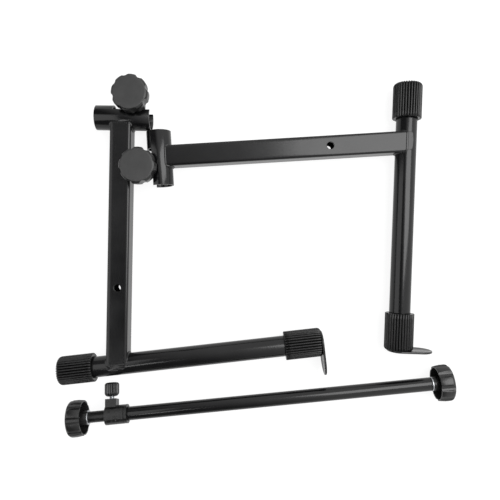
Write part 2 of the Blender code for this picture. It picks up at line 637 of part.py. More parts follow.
def stand_on_origin(kit):
    """Shift the kit so that the middle of its underside is at the origin."""
    bpy.context.view_layer.update()
    graph = bpy.context.evaluated_depsgraph_get()
    corners = []
    for obj in parts.objects:
        if obj.type == "MESH":
            evaluated = obj.evaluated_get(graph)
            corners += [evaluated.matrix_world @ vertex.co for vertex in evaluated.data.vertices]
    low = Vector([min(corner[i] for corner in corners) for i in range(3)])
    high = Vector([max(corner[i] for corner in corners) for i in range(3)])
    middle = (low + high) / 2
    kit.location = (-middle.x, -middle.y, -low.z)
    bpy.context.view_layer.update()


clear_scene()
parts = new_collection("keyboard_stand_second_tier")
tools = new_collection("cutters")
kit_frame = new_frame("kit_frame", None)
left_arm, left_tube = build_arm("left", 1, kit_frame, (0, 0, ARM_HEIGHT), LEFT_ARM_TURN)
build_arm("right", -1, left_arm, (RIGHT_ARM_X, RIGHT_ARM_Y, 0), RIGHT_ARM_TURN)
build_brace(left_tube)
stand_on_origin(kit_frame)
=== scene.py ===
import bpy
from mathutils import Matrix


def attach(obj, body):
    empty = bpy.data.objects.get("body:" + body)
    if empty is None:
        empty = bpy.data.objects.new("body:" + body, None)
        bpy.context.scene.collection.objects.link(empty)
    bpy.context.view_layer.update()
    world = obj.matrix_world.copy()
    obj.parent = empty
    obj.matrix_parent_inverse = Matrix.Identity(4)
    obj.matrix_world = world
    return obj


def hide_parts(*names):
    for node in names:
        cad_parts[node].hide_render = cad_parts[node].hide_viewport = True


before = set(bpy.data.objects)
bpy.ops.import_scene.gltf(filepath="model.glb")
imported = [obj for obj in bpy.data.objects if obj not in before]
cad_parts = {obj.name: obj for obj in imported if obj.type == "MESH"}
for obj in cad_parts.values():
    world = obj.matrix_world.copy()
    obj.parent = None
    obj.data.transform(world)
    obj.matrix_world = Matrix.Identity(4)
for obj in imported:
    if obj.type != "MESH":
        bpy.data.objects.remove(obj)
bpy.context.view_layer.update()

import math

import bmesh
import bpy
from mathutils import Matrix, Vector

mm = 0.001
quarter = math.pi / 2
fitGap = 0.3 * mm
plasticIor = 1.53

# where each assembly lies, in metres: its origin, its turn about Z, which way its lip points, and
# the few sizes that differ between the two arms
layout = {
    "left": {"origin": (-0.162285, 0.173551, 0.0175), "turn": math.radians(-1.0), "side": 1,
             "lean": math.radians(7.4), "boltFromBar": 15.6 * mm, "plainReach": 72.4 * mm,
             "lipReach": 253.0 * mm},
    "right": {"origin": (-0.116323, 0.125141, 0.0175), "turn": math.radians(93.4), "side": -1,
              "lean": math.radians(5.5), "boltFromBar": 13.7 * mm, "plainReach": 72.5 * mm,
              "lipReach": 256.6 * mm},
    "brace": {"origin": (-0.181391, -0.191477, 0.0218), "turn": math.radians(5.56),
              "roll": math.radians(-20)},
}


# colours and node helpers

def linearColour(hexText):
    parts = [int(hexText[i:i + 2], 16) / 255 for i in (1, 3, 5)]
    return tuple(c / 12.92 if c <= 0.04045 else ((c + 0.055) / 1.055) ** 2.4 for c in parts) + (1.0,)


def addNode(tree, kind, inputs=None, **settings):
    node = tree.nodes.new(kind)
    for name, value in settings.items():
        setattr(node, name, value)
    for socket, value in (inputs or {}).items():
        if isinstance(value, bpy.types.NodeSocket):
            tree.links.new(value, node.inputs[socket])
        else:
            node.inputs[socket].default_value = value
    return node


def newMaterial(name):
    material = bpy.data.materials.new(name)
    material.use_nodes = True
    tree = material.node_tree
    where = addNode(tree, "ShaderNodeTexCoord").outputs["Object"]
    return material, tree, tree.nodes["Principled BSDF"], where


def connect(tree, source, shader, socket):
    tree.links.new(source, shader.inputs[socket])


def noiseAt(tree, where, size, detail=3.0, stretch=(1, 1, 1)):
    # size is the width of one grain, in metres
    scale = tuple(s / size for s in stretch)
    placed = addNode(tree, "ShaderNodeMapping", {"Vector": where, "Scale": scale}).outputs["Vector"]
    inputs = {"Vector": placed, "Scale": 1.0, "Detail": detail}
    return addNode(tree, "ShaderNodeTexNoise", inputs).outputs["Fac"]


def blendTones(tree, factor, tones, toneRange=(0.35, 0.65)):
    ramp = addNode(tree, "ShaderNodeValToRGB", {"Fac": factor})
    for element, position, tone in zip(ramp.color_ramp.elements, toneRange, tones):
        element.position = position
        element.color = linearColour(tone)
    return ramp.outputs["Color"]


def spread(tree, factor, values, start=0.3, end=0.7):
    inputs = {"Value": factor, "From Min": start, "From Max": end, "To Min": values[0], "To Max": values[1]}
    return addNode(tree, "ShaderNodeMapRange", inputs).outputs["Result"]


def relief(tree, height, depth):
    return addNode(tree, "ShaderNodeBump", {"Height": height, "Distance": depth}).outputs["Normal"]


def dress(tree, shader, pattern, values, height, depth, toneRange=(0.35, 0.65)):
    # tone and roughness follow the pattern, and the relief follows the height
    connect(tree, blendTones(tree, pattern, values["tones"], toneRange), shader, "Base Color")
    connect(tree, spread(tree, pattern, values["roughness"]), shader, "Roughness")
    connect(tree, relief(tree, height, depth), shader, "Normal")


# Polyester powder coat, sprayed on steel and baked: black, half gloss, with a fine orange peel that
# breaks the edges of reflections. The peel is 1 mm wide on the real one and drawn at 2 mm to show.
coatValues = {"tones": ("#0a0a0b", "#101011"), "roughness": (0.14, 0.20), "peel": 2.0 * mm,
              "peelDepth": 0.02 * mm, "cloud": 35 * mm, "ior": 1.47}


def powderCoat(name, values):
    material, tree, shader, where = newMaterial(name)
    cloud = noiseAt(tree, where, values["cloud"])
    peel = noiseAt(tree, where, values["peel"], 2.0)
    dress(tree, shader, cloud, values, peel, values["peelDepth"])
    shader.inputs["IOR"].default_value = values["ior"]
    return material


# The same coat where another tube slides in it: rubbed duller and paler in streaks along the tube.
slidingValues = {"tones": ("#090909", "#3a3a38"), "toneRange": (0.5, 0.8), "roughness": (0.26, 0.5),
                 "streak": 5.0 * mm, "stretch": (1, 1, 0.35), "peel": 2.0 * mm, "peelDepth": 0.04 * mm,
                 "ior": 1.47}


def rubbedCoat(name, values):
    material, tree, shader, where = newMaterial(name)
    streak = noiseAt(tree, where, values["streak"], 4.0, values["stretch"])
    peel = noiseAt(tree, where, values["peel"], 2.0)
    dress(tree, shader, streak, values, peel, values["peelDepth"], values["toneRange"])
    shader.inputs["IOR"].default_value = values["ior"]
    return material


# Soft PVC, injected into a smooth tool: black with a wet shine on its ribs and a fine grain. The real
# grain is 0.2 mm and drawn at 0.9 mm to show. The lips come from the polished end of the same tool and are
# the same black; their paler tone is a painted reflection, while their gloss is real.
gripValues = {"tones": ("#070707", "#0e0e0e"), "roughness": (0.16, 0.26), "grain": 0.9 * mm,
              "grainDepth": 0.008 * mm, "cloud": 12 * mm, "specular": 0.4}
# painted reflection: the lip's tones are paler than the grip's, though it is the same black PVC; its lower
# roughness is real polish
lipPolishAndPaintedSheen = {"tones": ("#101010", "#191919"), "roughness": (0.13, 0.22), "grain": 1.2 * mm,
             "grainDepth": 0.01 * mm, "cloud": 12 * mm, "specular": 0.5}


def mouldedPvc(name, values):
    material, tree, shader, where = newMaterial(name)
    cloud = noiseAt(tree, where, values["cloud"])
    grain = noiseAt(tree, where, values["grain"], 2.0)
    dress(tree, shader, cloud, values, grain, values["grainDepth"])
    shader.inputs["IOR"].default_value = plasticIor
    shader.inputs["Specular IOR Level"].default_value = values["specular"]
    return material


# Black ABS, moulded, one colour all over. A knob's face comes from a spark-eroded part of the tool and is
# matt, and its skirt is polished; the face's paler tone and the skirt's darker one are painted light. The
# real texture is 0.1 mm and drawn at 0.8 mm to show. The collar and the thumb screw's head are satin all
# over.
knobValues = {"tones": ("#151515", "#1d1d1d"), "roughness": (0.24, 0.34), "grain": 0.8 * mm,
              "grainDepth": 0.02 * mm, "cloud": 15 * mm, "paintedPaleFaceTones": ("#2d2d2d", "#343434"),
              "faceRoughness": 0.5, "faceStart": 21.15 * mm, "faceBlend": 0.2 * mm}
collarValues = {"tones": ("#0e0e0e", "#191919"), "roughness": (0.22, 0.40), "grain": 0.8 * mm,
                "grainDepth": 0.05 * mm, "cloud": 5 * mm}
thumbValues = {"tones": ("#090909", "#101010"), "roughness": (0.20, 0.30), "grain": 0.8 * mm,
               "grainDepth": 0.03 * mm, "cloud": 5 * mm}


def mouldedAbs(name, values):
    material, tree, shader, where = newMaterial(name)
    cloud = noiseAt(tree, where, values["cloud"])
    grain = addNode(tree, "ShaderNodeTexVoronoi", {"Vector": where, "Scale": 1 / values["grain"]})
    tone = blendTones(tree, cloud, values["tones"])
    dullness = spread(tree, cloud, values["roughness"])
    if "paintedPaleFaceTones" in values:
        faceStart, faceRoughness = values["faceStart"], values["faceRoughness"]
        height = addNode(tree, "ShaderNodeSeparateXYZ", {"Vector": where}).outputs["Z"]
        onFace = spread(tree, height, (0.0, 1.0), faceStart - values["faceBlend"], faceStart)
        # painted light: the face is drawn in a paler tone than the skirt, though both are the same black
        # plastic; its duller roughness is the real matt finish
        paintedPaleFaceTone = blendTones(tree, cloud, values["paintedPaleFaceTones"])
        tone = addNode(tree, "ShaderNodeMix", {0: onFace, 6: tone, 7: paintedPaleFaceTone}, data_type="RGBA").outputs[2]
        dullness = addNode(tree, "ShaderNodeMix", {0: onFace, 2: dullness, 3: faceRoughness}).outputs[0]
    connect(tree, tone, shader, "Base Color")
    connect(tree, dullness, shader, "Roughness")
    connect(tree, relief(tree, grain.outputs["Distance"], values["grainDepth"]), shader, "Normal")
    shader.inputs["IOR"].default_value = plasticIor
    return material


# Bright zinc plate on turned steel, and turned brass: metal with fine tool rings. The real rings are
# 0.1 mm apart and drawn at 0.5 mm to show.
zincValues = {"tones": ("#b9bcc0", "#d6d8da"), "roughness": (0.22, 0.36), "ring": 0.5 * mm,
              "stretch": (0.1, 0.1, 1), "ringDepth": 0.01 * mm, "cloud": 4 * mm}
brassValues = {"tones": ("#b08d4c", "#c9a765"), "roughness": (0.25, 0.38), "ring": 0.5 * mm,
               "stretch": (0.1, 0.1, 1), "ringDepth": 0.012 * mm, "cloud": 3 * mm}


def turnedMetal(name, values):
    material, tree, shader, where = newMaterial(name)
    cloud = noiseAt(tree, where, values["cloud"])
    ring = noiseAt(tree, where, values["ring"], 1.0, values["stretch"])
    dress(tree, shader, cloud, values, ring, values["ringDepth"])
    shader.inputs["Metallic"].default_value = 1.0
    return material


# Natural nylon, moulded: milky, a little see-through, satin.
nylonValues = {"tones": ("#dcd8c8", "#e9e6da"), "roughness": (0.38, 0.5), "cloud": 2 * mm,
               "waviness": 0.02 * mm}


def naturalNylon(name, values):
    material, tree, shader, where = newMaterial(name)
    cloud = noiseAt(tree, where, values["cloud"])
    dress(tree, shader, cloud, values, cloud, values["waviness"])
    shader.inputs["IOR"].default_value = plasticIor
    shader.inputs["Subsurface Weight"].default_value = 0.2
    shader.inputs["Subsurface Radius"].default_value = (1 * mm, 1 * mm, 0.8 * mm)
    shader.inputs["Subsurface Scale"].default_value = 1.0
    return material


blackPowderCoat = powderCoat("blackPowderCoatedSteel", coatValues)
rubbedPowderCoat = rubbedCoat("rubbedPowderCoatedSteel", slidingValues)
blackPvc = mouldedPvc("blackMouldedPvc", gripValues)
polishedPvc = mouldedPvc("polishedBlackPvc", lipPolishAndPaintedSheen)
blackAbs = mouldedAbs("sparkErodedBlackAbs", knobValues)
collarAbs = mouldedAbs("satinBlackAbs", collarValues)
thumbAbs = mouldedAbs("darkSatinAbs", thumbValues)
brightZinc = turnedMetal("brightZincPlatedSteel", zincValues)
turnedBrass = turnedMetal("turnedBrass", brassValues)
whiteNylon = naturalNylon("naturalNylon", nylonValues)

# the finishes that several pieces share: a material and its slot's name
coated = (blackPowderCoat, "powder_coat")
plated = (brightZinc, "zinc")
moulded = (blackAbs, "knob")
print("materials made")


# places, and mesh helpers; profiles are (radius, height) points about the piece's own Z axis

def shift(x, y, z):
    return Matrix.Translation((x, y, z))


def turned(angle, axis):
    return Matrix.Rotation(angle, 4, axis)


def soften(points, reach, closed=False):
    # rounds each corner of a line of points with a short curve
    steps, mostOfSide = 3, 0.45
    result = []
    count = len(points)
    for i, corner in enumerate(points):
        if not closed and i in (0, count - 1):
            result.append(corner)
            continue
        here = Vector(corner)
        before, after = Vector(points[i - 1]), Vector(points[(i + 1) % count])
        start = here + (before - here) * min(reach / (before - here).length, mostOfSide)
        end = here + (after - here) * min(reach / (after - here).length, mostOfSide)
        for step in range(steps + 1):
            t = step / steps
            result.append(tuple(start * (1 - t) ** 2 + here * 2 * t * (1 - t) + end * t ** 2))
    return result


def meshFrom(name, shape):
    mesh = bpy.data.meshes.new(name)
    shape.to_mesh(mesh)
    shape.free()
    return mesh


def addObject(name, data):
    added = bpy.data.objects.new(name, data)
    bpy.context.scene.collection.objects.link(added)
    return added


def shaded(mesh, sharpAngle=35):
    mesh.polygons.foreach_set("use_smooth", [True] * len(mesh.polygons))
    mesh.set_sharp_from_angle(angle=math.radians(sharpAngle))
    return mesh


def skin(name, rings, loop=False, sharpAngle=35):
    # closed surface through rings of points; a ring of one point is a pole
    shape = bmesh.new()
    rows = [[shape.verts.new(point) for point in ring] for ring in rings]
    pairs = list(zip(rows, rows[1:]))
    if loop:
        pairs.append((rows[-1], rows[0]))
    for low, high in pairs:
        count = max(len(low), len(high))
        for i in range(count):
            j = (i + 1) % count
            corners = [low[i % len(low)], low[j % len(low)], high[j % len(high)], high[i % len(high)]]
            shape.faces.new(list(dict.fromkeys(corners)))
    if not loop:
        for end in (rows[0], rows[-1]):
            if len(end) > 1:
                shape.faces.new(end)
    bmesh.ops.recalc_face_normals(shape, faces=shape.faces)
    return shaded(meshFrom(name, shape), sharpAngle)


def lathe(name, profile, steps=96, loop=False, shapeAt=None, sharpAngle=35):
    # shapeAt gives a point's (radius, height) at an angle where the turned shape isn't round
    rings = []
    for radius, height, *more in profile:
        if radius < 0.01 * mm:
            rings.append([Vector((0, 0, height))])
            continue
        ring = []
        for i in range(steps):
            angle = 2 * math.pi * i / steps
            reach, lift = shapeAt(radius, height, angle, *more) if shapeAt else (radius, height)
            ring.append(Vector((reach * math.cos(angle), reach * math.sin(angle), lift)))
        rings.append(ring)
    return skin(name, rings, loop, sharpAngle)


def worked(name, mesh, cuts=(), joins=(), edgeRound=0.0):
    # joins and cuts other meshes on the first one, then rounds its sharp edges
    blank = addObject(name + "Blank", mesh)
    tools = []
    for operation, others in (("UNION", joins), ("DIFFERENCE", cuts)):
        for other in others:
            tools.append(addObject(name + "Tool", other))
            step = blank.modifiers.new("work", "BOOLEAN")
            step.operation = operation
            step.solver = "EXACT"
            step.object = tools[-1]
    if edgeRound:
        bevel = blank.modifiers.new("edges", "BEVEL")
        bevel.width = edgeRound
        bevel.segments = 2
        bevel.limit_method = "ANGLE"
        bevel.angle_limit = math.radians(40)
    result = bpy.data.meshes.new_from_object(blank.evaluated_get(bpy.context.evaluated_depsgraph_get()))
    for used in [blank] + tools:
        bpy.data.objects.remove(used)
    result.name = name
    return shaded(result, 30)


def placedMesh(mesh, matrix):
    mesh.transform(matrix)
    return mesh


def arcPoints(centre, radius, start, end, steps, squash=1.0):
    angles = [start + (end - start) * i / steps for i in range(steps + 1)]
    return [(centre[0] + radius * math.cos(a), centre[1] + squash * radius * math.sin(a)) for a in angles]


def blockMesh(name, size, centre):
    shape = bmesh.new()
    bmesh.ops.create_cube(shape, size=1.0, matrix=shift(*centre) @ Matrix.Diagonal((*size, 1)))
    return meshFrom(name, shape)


def plateMesh(name, outline, holes, thickness, edgeRound):
    # flat plate with rounded edges, centred on its own XY plane
    curve = bpy.data.curves.new(name, "CURVE")
    curve.dimensions = "2D"
    curve.fill_mode = "BOTH"
    curve.extrude = thickness / 2 - edgeRound
    curve.bevel_depth = edgeRound
    curve.bevel_resolution = 2
    curve.offset = -edgeRound
    for line in [outline] + list(holes):
        spline = curve.splines.new("POLY")
        spline.points.add(len(line) - 1)
        for point, (x, y) in zip(spline.points, line):
            point.co = (x, y, 0, 1)
        spline.use_cyclic_u = True
    sheet = addObject(name, curve)
    mesh = bpy.data.meshes.new_from_object(sheet.evaluated_get(bpy.context.evaluated_depsgraph_get()))
    bpy.data.objects.remove(sheet)
    shape = bmesh.new()
    shape.from_mesh(mesh)
    bmesh.ops.remove_doubles(shape, verts=shape.verts, dist=0.01 * mm)
    bmesh.ops.recalc_face_normals(shape, faces=shape.faces)
    shape.to_mesh(mesh)
    shape.free()
    mesh.name = name
    return shaded(mesh)


beadValues = {"pitch": 2.2 * mm, "sides": 10, "endShare": 0.02, "endSquareness": 6}


def beadMesh(name, path, outward, widths, heights, ripple, closed=True):
    # weld bead along a path: widths run along the surface, heights away from it, in metres
    count = len(path)
    rings = []
    travelled = 0.0
    for i, point in enumerate(path):
        before = path[i - 1] if closed or i else point
        after = path[(i + 1) % count] if closed or i < count - 1 else point
        forward = (after - before).normalized()
        up = (outward[i] - forward * outward[i].dot(forward)).normalized()
        across = forward.cross(up)
        wave = abs(math.sin(math.pi * travelled / beadValues["pitch"]))
        swell = 1 - ripple + ripple * wave
        if not closed:
            fromMiddle = abs(2 * i / (count - 1) - 1)
            swell *= math.sqrt(max(beadValues["endShare"], 1 - fromMiddle ** beadValues["endSquareness"]))
        ring = []
        for k in range(beadValues["sides"]):
            angle = 2 * math.pi * k / beadValues["sides"]
            spot = across * widths[i] * math.cos(angle) + up * heights[i] * math.sin(angle)
            ring.append(point + spot * swell)
        rings.append(ring)
        travelled += (after - point).length
    return skin(name, rings, closed, 60)


def threadShape(pitch, depth):
    # a V thread, where share is 1 on the thread and 0 off it
    def shapeAt(radius, height, angle, share):
        phase = (height / pitch - angle / (2 * math.pi)) % 1
        return radius - share * depth * (1 - abs(2 * phase - 1)), height

    return shapeAt


def cylinderMesh(name, radius, low, high, steps):
    return lathe(name, [(0, low), (radius, low), (radius, high), (0, high)], steps)


def threadedRod(name, radius, pitch, depth, low, high):
    # a V thread cut into a round rod, with a chamfered end at low
    chamfer = 0.6 * mm
    count = round((high - low) / pitch * 8)
    profile = [(0, low, 0), (radius - depth - chamfer / 2, low, 0)]
    for i in range(count + 1):
        height = low + chamfer + (high - low - chamfer) * i / count
        profile.append((radius, height, 1))
    profile.append((0, high, 0))
    return lathe(name, profile, 32, shapeAt=threadShape(pitch, depth), sharpAngle=70)


def addPiece(name, mesh, body, finish, matrix, nodes=()):
    material, slot = finish
    mesh.materials.clear()
    mesh.materials.append(material)
    piece = addObject(name, mesh)
    piece.matrix_world = matrix
    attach(piece, body)
    if nodes:
        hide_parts(*nodes)


def dressNode(name, material):
    # a node that is shown as it was packed, in its own material
    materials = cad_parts[name].data.materials
    materials.clear()
    materials.append(material)


# Square bar: 25.6 mm box tube with a 1.5 mm wall, coped onto the sleeve and the support tube and
# welded round. At the support tube the weld runs out over the tube's crest as a flat tongue.
barValues = {"side": 25.6 * mm, "wall": 1.5 * mm, "corner": 3 * mm, "span": 303.4 * mm,
             "sleeveCope": 15.3 * mm, "tubeCope": 13.0 * mm, "crossHole": 95 * mm, "holeRadius": 4.3 * mm,
             "holeChamfer": 0.4 * mm, "sideSteps": 10, "cornerSteps": 5}
weldValues = {"topWidth": 1.6 * mm, "sideWidth": 2.0 * mm, "topHeight": 0.35 * mm, "sideHeight": 1.5 * mm,
              "tubeShift": 0.2 * mm, "sleeveShift": 0.6 * mm, "ripple": 0.22, "flatFrom": 0.8,
              "flatBlend": 0.15}
tongueValues = {"halfWidth": 11.0 * mm, "overBar": 1.2 * mm, "pastCrest": 5.4 * mm, "thickness": 0.55 * mm,
                "lipHeight": 0.5 * mm, "ripple": 0.3 * mm, "pitch": 2.4 * mm, "squareness": 4,
                "heelShare": 0.15, "ramp": 2 * mm, "steps": 96}


def squareOutline(side, corner, sideSteps, cornerSteps):
    reach = side / 2 - corner
    points = []
    for i, (x, z) in enumerate([(reach, reach), (-reach, reach), (-reach, -reach), (reach, -reach)]):
        points += arcPoints((x, z), corner, i * quarter, (i + 1) * quarter, cornerSteps)
        nextX, nextZ = [(-reach, side / 2), (-side / 2, -reach), (reach, -side / 2), (side / 2, reach)][i]
        lastX, lastZ = points[-1]
        for k in range(1, sideSteps):
            t = k / sideSteps
            points.append((lastX + (nextX - lastX) * t, lastZ + (nextZ - lastZ) * t))
    return points


def barEnds(values, side, tubeLean):
    # where the bar's ends meet the sleeve and the leaning support tube
    lean = tubeLean * side

    def sleeveEnd(x, z):
        return -math.sqrt(values["sleeveCope"] ** 2 - z * z)

    def tubeEnd(x, z):
        reach = math.sqrt(values["tubeCope"] ** 2 - z * z)
        return -values["span"] + (reach + x * math.sin(lean)) / math.cos(lean)

    return sleeveEnd, tubeEnd


def makeBar(name, values, side, tubeLean):
    outer = squareOutline(values["side"], values["corner"], values["sideSteps"], values["cornerSteps"])
    inner = squareOutline(values["side"] - 2 * values["wall"], values["corner"] - values["wall"],
                          values["sideSteps"], values["cornerSteps"])
    sleeveEnd, tubeEnd = barEnds(values, side, tubeLean)
    rings = []
    for outline, ends in ((outer, (sleeveEnd, tubeEnd)), (inner, (tubeEnd, sleeveEnd))):
        for end in ends:
            rings.append([Vector((x, end(x, z), z)) for x, z in outline])
    body = skin(name, rings, loop=True)
    radius, chamfer, half = values["holeRadius"], values["holeChamfer"], values["side"] / 2
    flareRadius, flareTop = radius + chamfer + 2 * mm, half + 2 * mm
    flare = [(0, flareTop), (flareRadius, flareTop), (radius, half - chamfer), (radius, chamfer - half),
             (flareRadius, -flareTop), (0, -flareTop)]
    drillPlace = shift(0, values["crossHole"] - values["span"], 0)
    drill = placedMesh(lathe(name + "Drill", flare, 48), drillPlace)
    return worked(name, body, cuts=[drill])


def barWeld(name, values, weld, side, tubeLean, atTube):
    outline = squareOutline(values["side"], values["corner"], values["sideSteps"] * 3,
                            values["cornerSteps"] * 2)
    sleeveEnd, tubeEnd = barEnds(values, side, tubeLean)
    path, outward, widths, heights = [], [], [], []
    for x, z in outline:
        # flat is 1 on top and below, and 0 on the sides
        flat = (abs(z) / values["side"] * 2 - weld["flatFrom"]) / weld["flatBlend"]
        flat = min(1.0, max(0.0, flat))
        if atTube:
            end = tubeEnd(x, z) - weld["tubeShift"] * flat
        else:
            end = sleeveEnd(x, z) + weld["sleeveShift"] * flat
        path.append(Vector((x, end, z)))
        outward.append(Vector((0 if flat else x, 0, z)).normalized())
        widths.append(weld["sideWidth"] + (weld["topWidth"] - weld["sideWidth"]) * flat)
        heights.append(weld["sideHeight"] + (weld["topHeight"] - weld["sideHeight"]) * flat)
    return beadMesh(name, path, outward, widths, heights, weld["ripple"])


def weldTongue(name, values, tongue, side, tubeLean, level):
    # closed patch with a round-cornered outline; level is 1 on top of the bar and -1 underneath
    tubeEnd = barEnds(values, side, tubeLean)[1]
    half = values["side"] / 2
    lean = tubeLean * side
    near = tubeEnd(0, half) + tongue["overBar"]
    far = -values["span"] - tongue["pastCrest"]
    middle, halfLength = (near + far) / 2, (near - far) / 2

    def surface(x, y):
        across = -x * math.sin(lean) + (y + values["span"]) * math.cos(lean)
        onTube = math.sqrt(max(0.0, tubeValues["outer"] ** 2 - across ** 2))
        share = min(1.0, max(0.0, (y - tubeEnd(x, half)) / tongue["ramp"] + 1))
        return onTube + (half - onTube) * share * share * (3 - 2 * share)

    # the patch's section from its buried edge to its middle: share of the outline and height
    lip, heel, width = tongue["lipHeight"], tongue["heelShare"], tongue["halfWidth"]
    section = [(0.97, -2.5 * mm), (1.0, -0.25 * mm), (0.985, 0.35 * lip), (0.95, lip), (0.9, 0.95 * lip),
               (0.8, 0.8 * lip), (0.6, 0.5 * lip), (0.35, 0.2 * lip), (0.0, 0.0)]
    rings = []
    for reach, lift in section:
        ring = []
        for i in range(tongue["steps"]):
            angle = 2 * math.pi * i / tongue["steps"]
            power = 2 / tongue["squareness"]
            x = math.copysign(abs(math.cos(angle)) ** power, math.cos(angle))
            y = math.copysign(abs(math.sin(angle)) ** power, math.sin(angle))
            toe = max(0.0, -y)
            wave = tongue["ripple"] * toe * abs(math.sin(math.pi * x * width / tongue["pitch"]))
            along = x * reach * width
            spot = (along, middle + y * reach * (halfLength - wave) + along * math.tan(lean))
            height = surface(*spot) + lift * (heel + (1 - heel) * toe)
            if lift > 0:
                height += tongue["thickness"] * toe * reach ** 2
            ring.append(Vector((*spot, level * height)))
            if not reach:
                break
        rings.append(ring)
    return skin(name, rings, sharpAngle=60)


# Clamp sleeve: 30 mm tube with a closed ring at one end and an open side beyond it
sleeveValues = {"outer": 15 * mm, "bore": 13 * mm, "plainReach": 31.6 * mm, "clampReach": 35 * mm,
                "slitStart": 9.9 * mm, "slitEdge": 8 * mm, "edgeRound": 0.4 * mm}


def makeSleeve(name, values, side):
    low, high = -values["plainReach"], values["clampReach"]
    ring = [(values["outer"], high), (values["outer"], low), (values["bore"], low), (values["bore"], high)]
    turnedRing = placedMesh(lathe(name, ring, 96, loop=True), turned(quarter, "Y"))
    length = values["slitStart"] + high + 10 * mm
    width, depth = 20 * mm, 60 * mm
    slit = blockMesh(name + "Slit", (length, width, depth),
                     (length / 2 - values["slitStart"], values["slitEdge"] + width / 2, 0))
    mesh = worked(name, turnedRing, cuts=[slit], edgeRound=values["edgeRound"])
    if side < 0:
        mesh.transform(Matrix.Diagonal((-1, 1, 1, 1)))
        mesh.flip_normals()
    return mesh


# Clamp ears, with a weld bead where each meets the sleeve, and their M8 carriage bolt
earValues = {"width": 19 * mm, "thickness": 3 * mm, "hole": 4.3 * mm, "edgeRound": 0.4 * mm,
             "fromSleeve": 21.9 * mm, "innerHeight": 10.247 * mm, "bead": 1.3 * mm, "beadInset": 2.5 * mm,
             "beadHeight": 0.91 * mm, "beadDrop": 0.2 * mm, "beadTilt": 0.3, "ripple": 0.12}
boltValues = {"radius": 4 * mm, "pitch": 1.25 * mm, "threadDepth": 0.6 * mm, "headRadius": 8.5 * mm,
              "headThickness": 3.9 * mm, "dome": 1.5 * mm, "inKnob": 12.5 * mm, "knobBase": 15.447 * mm,
              "threadLow": 9 * mm, "headEdge": (0.3 * mm, 0.5 * mm), "chamfer": (0.9 * mm, 0.6 * mm)}
washerValues = {"radius": 8.5 * mm, "hole": 4.3 * mm, "thickness": 1.6 * mm, "edgeRound": 0.25 * mm}


def makeEar(name, values):
    root = sleeveValues["slitEdge"] + fitGap - values["fromSleeve"]
    half = values["width"] / 2
    outline = arcPoints((0, 0), half, 0, math.pi, 40) + [(-half, root), (half, root)]
    hole = arcPoints((0, 0), values["hole"], 0, 2 * math.pi, 40)[:-1]
    return plateMesh(name, outline, [hole], values["thickness"], values["edgeRound"])


def makeEarWeld(name, values, level):
    # the root line runs along the ear's outer face, down both of its sides to the sleeve
    root = sleeveValues["slitEdge"] + fitGap - values["fromSleeve"]
    half = values["width"] / 2 - values["beadInset"]
    line, height = root - values["beadDrop"], level * (values["thickness"] / 2)
    steps = 36
    path = [Vector((half * (2 * i / steps - 1), line, height)) for i in range(steps + 1)]
    outward = [Vector((0, values["beadTilt"], level)).normalized()] * len(path)
    widths = [values["bead"]] * len(path)
    heights = [values["beadHeight"]] * len(path)
    return beadMesh(name, path, outward, widths, heights, values["ripple"], closed=False)


def makeClampBolt(name, values):
    headTop = -(earValues["innerHeight"] + earValues["thickness"] + fitGap)
    headBase = headTop - values["headThickness"]
    radius, headRadius = values["radius"], values["headRadius"]
    dome = [(0, headBase)] + [(headRadius * math.sin(a), headBase + 2 * values["dome"] * (1 - math.cos(a)))
                              for a in [quarter * i / 10 for i in range(1, 10)]]
    inset, drop = values["headEdge"]
    profile = dome + [(headRadius, headTop - drop), (headRadius - inset, headTop), (radius, headTop)]
    profile = [(r, min(h, headTop), 0) for r, h in profile]
    inset, drop = values["chamfer"]
    top = values["knobBase"] + values["inKnob"]
    threadLow = values["threadLow"]
    profile.append((radius, threadLow, 0))
    count = round((top - threadLow) / values["pitch"] * 8)
    for i in range(1, count + 1):
        profile.append((radius, threadLow + (top - drop - threadLow) * i / count, 1))
    profile += [(radius - inset, top, 0), (0, top, 0)]
    thread = threadShape(values["pitch"], values["threadDepth"])
    return lathe(name, profile, 40, shapeAt=thread, sharpAngle=50)


def makeWasher(name, values):
    ring = [(values["radius"], values["thickness"]), (values["radius"], 0), (values["hole"], 0),
            (values["hole"], values["thickness"])]
    return lathe(name, soften(ring, values["edgeRound"], closed=True), 64, loop=True)


# Lobed knob: hollow cap with a hub, eight shallow notches in its skirt
lobedKnob = {"widest": 21.8 * mm, "rim": 20.8 * mm, "face": 17.7 * mm, "skirt": 17.5 * mm, "waist": 7.5 * mm,
             "faceRound": 4.5 * mm, "shell": 2 * mm, "faceWall": 3 * mm, "hub": 8.5 * mm, "hubProud": 4 * mm,
             "pocket": 6.3 * mm, "pocketDepth": 14.3 * mm, "lobes": 8, "notchRadius": 5 * mm,
             "notchDepth": 2.4 * mm, "notchSoft": 0.12 * mm, "faceDish": 0.15 * mm, "edgeRound": 0.5 * mm}


